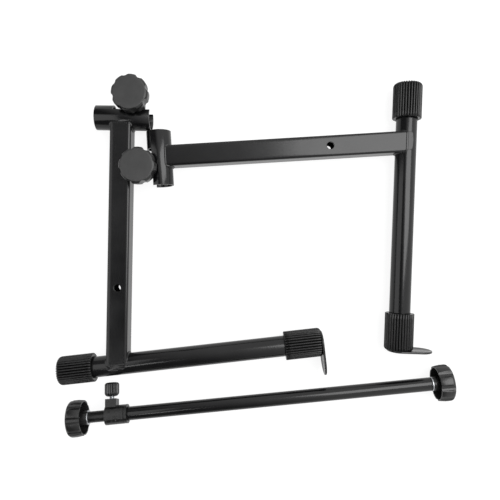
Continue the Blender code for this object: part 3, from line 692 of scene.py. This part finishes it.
def makeKnob(name, values, turn):
    top = values["hubProud"] + values["skirt"]
    ceiling = top - values["faceWall"]
    width = values["widest"] - values["face"]
    corner = (values["face"], top - values["faceRound"])
    shoulder = arcPoints(corner, width, quarter, 0, 8, values["faceRound"] / width)
    outside = [(0, top - values["faceDish"]), (values["face"] * 0.5, top - values["faceDish"] * 0.7)]
    outside += shoulder + [(values["widest"], values["hubProud"] + values["waist"])]
    inside = [(values["rim"], values["hubProud"]), (values["rim"] - values["shell"], values["hubProud"]),
              (values["face"], ceiling), (values["hub"], ceiling), (values["hub"], 0), (values["pocket"], 0)]
    inside.append((values["pocket"], values["pocketDepth"]))
    rounded = soften([outside[-1]] + inside, values["edgeRound"])
    profile = outside[:-1] + rounded + [(0, values["pocketDepth"])]
    centre = values["widest"] + values["notchRadius"] - values["notchDepth"]
    share = 2 * math.pi / values["lobes"]

    def shapeAt(radius, height, angle):
        off = (angle - turn + share / 2) % share - share / 2
        side = centre * math.sin(off)
        if abs(side) >= values["notchRadius"]:
            return radius, height
        limit = centre * math.cos(off) - math.sqrt(values["notchRadius"] ** 2 - side * side)
        blend = max(0.0, values["notchSoft"] - abs(radius - limit)) / values["notchSoft"]
        return min(radius, limit) - blend * blend * values["notchSoft"] / 4, height

    return lathe(name, profile, 288, shapeAt=shapeAt, sharpAngle=30)


# Support tube and its two grips
tubeValues = {"outer": 12.7 * mm, "wall": 1.5 * mm, "edgeRound": 0.3 * mm}
gripSizes = {"radius": 17.5 * mm, "bore": 13.0 * mm, "plainLength": 43 * mm, "lipLength": 47 * mm,
             "endWall": 3 * mm, "endRound": 4 * mm, "mouth": 0.5 * mm, "ribs": 32, "ribDepth": 1.6 * mm,
             "ribSharpness": 1.3, "stepsPerRib": 12, "boreEdge": 0.3 * mm, "seatEdge": 0.4 * mm}
lipSizes = {"thickness": 2.5 * mm, "drop": 41 * mm, "rise": 13.8 * mm, "rim": 2.2 * mm, "slope": 1.2 * mm,
            "dish": 0.6 * mm, "edgeRound": 0.9 * mm, "sidePoints": (-18 * mm, -12 * mm, -6 * mm)}


def makeTube(name, outer, inner, low, high, edgeRound):
    ring = [(outer, high), (outer, low), (inner, low), (inner, high)]
    return lathe(name, soften(ring, edgeRound, closed=True), 96, loop=True)


def makeGrip(name, values, length, top):
    # profile points carry their share of the ribs' depth and the angle at which the ribs stand out
    radius, bore = values["radius"], values["bore"]
    endRound, mouth, wall = values["endRound"], values["mouth"], values["endWall"]
    flat = radius - endRound
    profile = [(0, top, 0, quarter), (flat * 0.55, top, 0, quarter), (flat * 0.72, top, 0.35, quarter)]
    rows = 7
    rounding = arcPoints((flat, top - endRound), endRound, quarter, 0, rows)
    profile += [(r, z, 0.8 + 0.2 * i / rows, quarter * (1 - i / rows)) for i, (r, z) in enumerate(rounding)]
    straight = length + top - endRound - mouth
    for i in range(1, rows + 1):
        profile.append((radius, top - endRound - straight * i / rows, 1, 0))
    edge, seat = values["boreEdge"], values["seatEdge"]
    profile += [(radius - mouth, -length, 0.8, 0), (bore + edge, -length, 0, 0), (bore, edge - length, 0, 0),
                (bore, -wall - seat, 0, 0), (bore - seat, -wall, 0, 0), (0, -wall, 0, 0)]

    def shapeAt(radius, height, angle, share, outward):
        valley = (1 - abs(math.cos(values["ribs"] / 2 * angle))) ** values["ribSharpness"]
        depth = share * values["ribDepth"] * valley
        return radius - depth * math.cos(outward), height - depth * math.sin(outward)

    return lathe(name, profile, values["ribs"] * values["stepsPerRib"], shapeAt=shapeAt, sharpAngle=50)


def lipOutline(grip, values):
    radius = grip["radius"]
    tip = arcPoints((0, radius - values["drop"]), radius, math.pi, 2 * math.pi, 40)
    crown = arcPoints((0, 0), radius, 0, math.pi, 40, values["rise"] / radius)
    straight = [(radius, y) for y in values["sidePoints"]]
    return tip + straight + crown + [(-x, y) for x, y in reversed(straight)]


def makeLip(name, grip, values):
    # a plate with a raised rounded rim and a shallow dish on both faces
    outline = lipOutline(grip, values)
    count = len(outline)
    half = values["thickness"] / 2
    normals = []
    for i in range(count):
        before, after = Vector(outline[i - 1]), Vector(outline[(i + 1) % count])
        along = (after - before).normalized()
        normals.append(Vector((along.y, -along.x)))
    edge = values["edgeRound"]
    rim, dish = values["rim"], values["dish"]
    section = [(rim + values["slope"], half - dish), (rim, half - dish * 0.15)]
    section += arcPoints((edge, half - edge), edge, quarter, 2 * quarter, 4)
    section += [(inset, -height) for inset, height in reversed(section)]
    rings = []
    for inset, height in section:
        inner = [Vector(point) - normal * inset for point, normal in zip(outline, normals)]
        rings.append([Vector((*point, height)) for point in inner])
    return skin(name, rings, sharpAngle=50)


# Brace: two nested tubes, a moulded collar with a nut boss, a thumb screw, and a knob in each end
braceSizes = {"outer": 8.15 * mm, "outerBore": 7.0 * mm, "inner": 6.7 * mm, "innerBore": 5.5 * mm,
              "innerLength": 260 * mm, "innerShown": 20.6 * mm, "bodyLength": 399 * mm,
              "tubeStart": 15.6 * mm, "edgeRound": 0.3 * mm}
collarSizes = {"radius": 11.3 * mm, "length": 26.9 * mm, "socket": 11.6 * mm, "bossLength": 13.9 * mm,
               "bossWidth": 13.4 * mm, "bossTop": 18.9 * mm, "bossRoof": 2 * mm, "nutSide": 10.6 * mm,
               "screwHole": 3.3 * mm, "holeCut": 30 * mm, "grooveFromEnd": 3.4 * mm,
               "grooveDepth": 0.7 * mm, "grooveWidth": 1.5 * mm, "dimple": 1.9 * mm,
               "dimpleTilt": math.radians(38), "dimpleAlong": 7.0 * mm, "edgeRound": 0.5 * mm}
screwSizes = {"radius": 3 * mm, "pitch": 1.0 * mm, "threadDepth": 0.5 * mm, "tip": 8.8 * mm,
              "headBase": 22.1 * mm, "inHead": 12 * mm, "headRadius": 8.8 * mm, "headLength": 16.5 * mm,
              "taper": 4.5 * mm, "neck": 4.2 * mm, "headRound": 2.6 * mm, "flutes": 16,
              "fluteDepth": 1.1 * mm, "headDish": 0.4 * mm}
studSizes = {"radius": 4 * mm, "pitch": 1.25 * mm, "threadDepth": 0.6 * mm, "reach": 17.5 * mm,
             "anchor": 6 * mm, "anchorLength": 13.7 * mm, "chamfer": (0.9 * mm, 0.6 * mm),
             "threadLoss": 0.8 * mm}


def makeCollar(name, values):
    clear = 10 * mm  # how far the round cutters run past the collar's ends
    along = turned(quarter, "Y")
    radius, length, bossTop = values["radius"], values["length"], values["bossTop"]
    groove = length - values["grooveFromEnd"]
    waist = radius - values["grooveDepth"]
    half = values["grooveWidth"] / 2
    body = [(0, 0), (radius, 0), (radius, groove - half), (waist, groove - half / 2),
            (waist, groove + half / 2), (radius, groove + half), (radius, length), (0, length)]
    roundBody = placedMesh(lathe(name + "Body", body, 96), along)
    bossLength = values["bossLength"] - fitGap
    boss = blockMesh(name + "Boss", (bossLength, bossTop, values["bossWidth"]),
                     (fitGap + bossLength / 2, bossTop / 2, 0))
    bore = cylinderMesh(name + "Bore", braceSizes["outerBore"], -clear, length + clear, 72)
    socket = cylinderMesh(name + "Socket", braceSizes["outer"] + fitGap, length - values["socket"],
                          length + clear, 72)
    screwX = values["bossLength"] / 2
    upright = shift(screwX, 0, 0) @ turned(-quarter, "X")
    hole = cylinderMesh(name + "Hole", values["screwHole"], 0, values["holeCut"], 48)
    nutSide, pocketTop = values["nutSide"], bossTop - values["bossRoof"]
    pocket = blockMesh(name + "Pocket", (nutSide, pocketTop, nutSide), (screwX, pocketTop / 2, 0))
    gate = bmesh.new()  # the moulding gate's dimple
    bmesh.ops.create_uvsphere(gate, u_segments=24, v_segments=12, radius=values["dimple"])
    tilt = values["dimpleTilt"]
    spot = Vector((screwX + values["dimpleAlong"], -radius * math.sin(tilt), radius * math.cos(tilt)))
    bmesh.ops.translate(gate, vec=spot, verts=gate.verts)
    dimple = meshFrom(name + "Dimple", gate)
    cuts = [placedMesh(bore, along), placedMesh(socket, along), placedMesh(hole, upright), pocket, dimple]
    return worked(name, roundBody, joins=[boss], cuts=cuts, edgeRound=values["edgeRound"])


def makeThumbHead(name, values):
    base, radius = values["headBase"], values["headRadius"]
    top = base + values["headLength"]
    holeTop = base + values["inHead"] + fitGap
    hole = values["radius"] + fitGap
    dished = top - values["headDish"]
    profile = [(0, dished, 0), (radius * 0.5, dished, 0), (radius * 0.56, top, 0)]
    headRound = values["headRound"]
    rounding = arcPoints((radius - headRound, top - headRound), headRound, quarter, 0, 5)
    profile += [(r, z, 0.5 + 0.1 * i) for i, (r, z) in enumerate(rounding)]
    neck, taper = values["neck"], values["taper"]
    straight = values["headLength"] - headRound - taper
    profile += [(radius, top - headRound - straight * t, 1) for t in (0.33, 0.67, 1)]
    shoulder = arcPoints((neck, base + taper), radius - neck, 0, -quarter, 5, taper / (radius - neck))
    profile += [(r, z, 1 - 0.2 * i) for i, (r, z) in enumerate(shoulder[1:], 1)]
    profile += [(hole, base, 0), (hole, holeTop, 0), (0, holeTop, 0)]

    def shapeAt(radius, height, angle, share):
        valley = (0.5 + 0.5 * math.cos(values["flutes"] * angle)) ** 2
        return radius - share * values["fluteDepth"] * valley, height

    return lathe(name, profile, values["flutes"] * 12, shapeAt=shapeAt, sharpAngle=45)


def makeStud(name, values):
    # threaded below the hub, plain where it is moulded in
    radius, reach, anchor = values["radius"], values["reach"], values["anchor"]
    inset, rise = values["chamfer"]
    threaded = reach - values["threadLoss"]
    count = round(reach / values["pitch"] * 8)
    profile = [(0, -reach, 0), (radius - inset, -reach, 0)]
    for i in range(count):
        profile.append((radius, -reach + rise + threaded * i / (count - 1), 1))
    anchorTop = fitGap + values["anchorLength"]
    profile += [(radius, fitGap, 0), (anchor, fitGap, 0), (anchor, anchorTop, 0), (0, anchorTop, 0)]
    thread = threadShape(values["pitch"], values["threadDepth"])
    return lathe(name, profile, 40, shapeAt=thread, sharpAngle=50)


# a knob's turn is that of its first notch
knobTurns = {"leftClamp": math.radians(15), "rightClamp": math.radians(15),
             "leftEnd": math.radians(35), "rightEnd": math.radians(22.5)}


def addKnob(name, kind, place):
    # a washer and the lobed knob over it, each on a body of its own
    label, body = name + kind.capitalize(), name + "_" + kind
    washer = makeWasher(label + "Washer", washerValues)
    addPiece(label + "Washer", washer, body + "_washer", plated, place, [body + "_washer"])
    place = place @ shift(0, 0, washerValues["thickness"] + fitGap)
    knob = makeKnob(label + "Knob", lobedKnob, knobTurns[label])
    addPiece(label + "Knob", knob, body + "_knob", moulded, place, [body + "_knob"])
    return place


# the two arms
washerBase = earValues["innerHeight"] + earValues["thickness"] + fitGap
tubeBore = tubeValues["outer"] - tubeValues["wall"]
tubeInset = gripSizes["endWall"] + fitGap
lipHalf = lipSizes["thickness"] / 2

for name in ("left", "right"):
    place = layout[name]
    side, lean, body = place["side"], place["lean"], name + "_arm"
    arm = shift(*place["origin"]) @ turned(place["turn"], "Z")
    tube = arm @ shift(0, -barValues["span"], 0) @ turned(side * lean, "Z")
    axis = arm @ shift(side * place["boltFromBar"], earValues["fromSleeve"], 0)

    bar = makeBar(name + "Bar", barValues, side, lean)
    addPiece(name + "BarSteel", bar, body, coated, arm, [name + "_bar"])
    for joined, atTube in (("Sleeve", False), ("Tube", True)):
        label = name + joined + "Weld"
        addPiece(label, barWeld(label, barValues, weldValues, side, lean, atTube), body, coated, arm)
    for face, level in (("Top", 1), ("Under", -1)):
        label = name + face + "Tongue"
        addPiece(label, weldTongue(label, barValues, tongueValues, side, lean, level), body, coated, arm)
    label = name + "Sleeve"
    addPiece(label, makeSleeve(label, sleeveValues, side), body, coated, arm, [name + "_clamp_sleeve"])
    for level, sign in (("upper", 1), ("lower", -1)):
        lift = sign * (earValues["innerHeight"] + earValues["thickness"] / 2)
        earPlace = axis @ shift(0, 0, lift)
        label = name + level.capitalize() + "Ear"
        addPiece(label, makeEar(label, earValues), body, coated, earPlace, [name + "_" + level + "_ear"])
        label += "Weld"
        addPiece(label, makeEarWeld(label, earValues, sign), body, coated, earPlace)
    label = name + "ClampBolt"
    addPiece(label, makeClampBolt(label, boltValues), body, plated, axis, [name + "_clamp_bolt"])
    addKnob(name, "clamp", axis @ shift(0, 0, washerBase))

    plainReach, lipReach = place["plainReach"], place["lipReach"]
    label = name + "SupportTube"
    pipe = makeTube(label, tubeValues["outer"], tubeBore, tubeInset - plainReach, lipReach - tubeInset,
                    tubeValues["edgeRound"])
    addPiece(label, pipe, body, coated, tube @ turned(side * quarter, "Y"), [name + "_support_tube"])
    for kind, toEnd, reach, top in (("plain", -side, plainReach, 0), ("lip", side, lipReach, -lipHalf)):
        label = name + kind.capitalize() + "Grip"
        grip = makeGrip(label, gripSizes, gripSizes[kind + "Length"], top)
        gripPlace = tube @ shift(toEnd * reach, 0, 0) @ turned(toEnd * quarter, "Y")
        addPiece(label, grip, body, (blackPvc, "grip"), gripPlace, [name + "_" + kind + "_grip"])
    # the lip closes the end of the second grip
    label = name + "Lip"
    addPiece(label, makeLip(label, gripSizes, lipSizes), body, (polishedPvc, "grip"),
             gripPlace @ shift(0, 0, -lipHalf))
    dressNode(name + "_clamp_knob_insert", turnedBrass)
print("arms built")

# the brace
place = layout["brace"]
brace = shift(*place["origin"]) @ turned(place["turn"], "Z") @ turned(place["roll"], "X")
alongBrace = turned(quarter, "Y")
outerTube = makeTube("braceOuterTube", braceSizes["outer"], braceSizes["outerBore"], braceSizes["tubeStart"],
                     braceSizes["bodyLength"], braceSizes["edgeRound"])
addPiece("braceOuterTube", outerTube, "brace", coated, brace @ alongBrace, ["brace_outer_tube"])
innerTube = makeTube("braceInnerTube", braceSizes["inner"], braceSizes["innerBore"], 0,
                     braceSizes["innerLength"], braceSizes["edgeRound"])
innerEnd = brace @ shift(-braceSizes["innerShown"], 0, 0)
addPiece("braceInnerTube", innerTube, "brace_inner", (rubbedPowderCoat, "powder_coat"), innerEnd @ alongBrace,
         ["brace_inner_tube"])
collar = makeCollar("braceCollar", collarSizes)
addPiece("braceCollar", collar, "brace", (collarAbs, "knob"), brace, ["brace_collar"])
screwAxis = brace @ shift(collarSizes["bossLength"] / 2, 0, 0) @ turned(-quarter, "X")
shank = threadedRod("thumbScrewShank", screwSizes["radius"], screwSizes["pitch"], screwSizes["threadDepth"],
                    screwSizes["tip"], screwSizes["headBase"] + screwSizes["inHead"])
addPiece("thumbScrewShank", shank, "thumb_screw", plated, screwAxis, ["thumb_screw_shank"])
thumbHead = makeThumbHead("thumbScrewHead", screwSizes)
addPiece("thumbScrewHead", thumbHead, "thumb_screw", (thumbAbs, "knob"), screwAxis, ["thumb_screw_head"])
outerEnd = brace @ shift(braceSizes["bodyLength"], 0, 0)
for name, start, direction in (("left", innerEnd, -1), ("right", outerEnd, 1)):
    end = start @ turned(direction * quarter, "Y")
    knobPlace = addKnob(name, "end", end @ shift(0, 0, fitGap))
    label = name + "EndStud"
    addPiece(label, makeStud(label, studSizes), name + "_end_knob", plated, knobPlace, [name + "_end_stud"])
    dressNode(name + "_end_insert", brightZinc)
dressNode("collar_nut", brightZinc)
dressNode("thumb_screw_pad", whiteNylon)
print("brace built")


# floor, light and camera
floorValues = {"half": 4.0, "drop": 0.2 * mm, "tones": ("#7c7c7c", "#808080"), "glow": 0.88, "mirrored": 0.7,
               "grain": 60 * mm}
roomValues = {"horizon": 1.0, "horizonEnd": (0.02, 0.14), "lightFrom": (0.95, 0.30, 0.0),
              "reach": (-0.26, 0.12), "light": (0.10, 1.0)}
lampValues = {
    "softBox": {"power": 9.5, "size": (0.8, 1.0), "spot": (0.63, 0.26, 1.08)},
    "sideFill": {"power": 5.0, "size": (1.0, 1.2), "spot": (-0.95, 0.0, 0.80)},
    "stripLight": {"power": 0.6, "size": (0.10, 0.35), "spot": (-0.47, -0.57, 1.15)},
}
cameraValues = {"spot": (-0.0055, 0.0112, 0.6394), "lens": 36.336, "sensor": 36.0, "nearest": 0.01}
white = (1, 1, 1, 1)


def makeFloor(values):
    shape = bmesh.new()
    bmesh.ops.create_grid(shape, x_segments=8, y_segments=8, size=values["half"])
    floor = addObject("floorSheet", meshFrom("floorSheet", shape))
    floor.location.z = -values["drop"]
    material, tree, shader, where = newMaterial("whitePaper")
    grain = noiseAt(tree, where, values["grain"])
    connect(tree, blendTones(tree, grain, values["tones"]), shader, "Base Color")
    shader.inputs["Roughness"].default_value = 1.0
    shader.inputs["Specular IOR Level"].default_value = 0.0
    # the glow turns the paper white for the eye, a little less so in reflections, and keeps the shadow
    ray = addNode(tree, "ShaderNodeLightPath").outputs
    indirect = {0: ray["Is Glossy Ray"], 1: ray["Is Transmission Ray"]}
    seen = addNode(tree, "ShaderNodeMath", indirect, operation="MAXIMUM")
    seen = addNode(tree, "ShaderNodeMath", {0: seen.outputs[0], 1: values["mirrored"]}, operation="MULTIPLY")
    seen = addNode(tree, "ShaderNodeMath", {0: seen.outputs[0], 1: ray["Is Camera Ray"]}, operation="MAXIMUM")
    glow = addNode(tree, "ShaderNodeMath", {0: seen.outputs[0], 1: values["glow"]}, operation="MULTIPLY")
    shader.inputs["Emission Color"].default_value = white
    connect(tree, glow.outputs[0], shader, "Emission Strength")
    floor.data.materials.append(material)


def makeRoom(values):
    # white to the eye and low down all round; reflections show a dim room with its light on the right
    world = bpy.data.worlds.new("studioRoom")
    bpy.context.scene.world = world
    world.use_nodes = True
    tree = world.node_tree
    direction = addNode(tree, "ShaderNodeTexCoord").outputs["Generated"]
    height = addNode(tree, "ShaderNodeSeparateXYZ", {"Vector": direction}).outputs["Z"]
    facing = {0: direction, 1: values["lightFrom"]}
    towards = addNode(tree, "ShaderNodeVectorMath", facing, operation="DOT_PRODUCT")
    room = spread(tree, towards.outputs["Value"], values["light"], *values["reach"])
    above = spread(tree, height, (0.0, 1.0), *values["horizonEnd"])
    strength = addNode(tree, "ShaderNodeMix", {0: above, 2: values["horizon"], 3: room}).outputs[0]
    seen = addNode(tree, "ShaderNodeLightPath").outputs["Is Camera Ray"]
    strength = addNode(tree, "ShaderNodeMix", {0: seen, 2: strength, 3: 1.0}).outputs[0]
    tree.links.new(strength, tree.nodes["Background"].inputs["Strength"])
    tree.nodes["Background"].inputs["Color"].default_value = white


def makeLamp(name, values):
    lamp = bpy.data.lights.new(name, "AREA")
    lamp.shape = "RECTANGLE"
    lamp.size, lamp.size_y = values["size"]
    lamp.energy = values["power"]
    light = addObject(name, lamp)
    light.location = values["spot"]
    light.rotation_euler = (-Vector(values["spot"])).to_track_quat("-Z", "Y").to_euler()


makeFloor(floorValues)
makeRoom(roomValues)
for name, values in lampValues.items():
    makeLamp(name, values)

lens = bpy.data.cameras.new("overheadCamera")
lens.lens = cameraValues["lens"]
lens.sensor_width = cameraValues["sensor"]
lens.clip_start = cameraValues["nearest"]
camera = addObject("overheadCamera", lens)
camera.location = cameraValues["spot"]
bpy.context.scene.camera = camera
bpy.context.scene.view_settings.view_transform = "Standard"
print("studio set up")
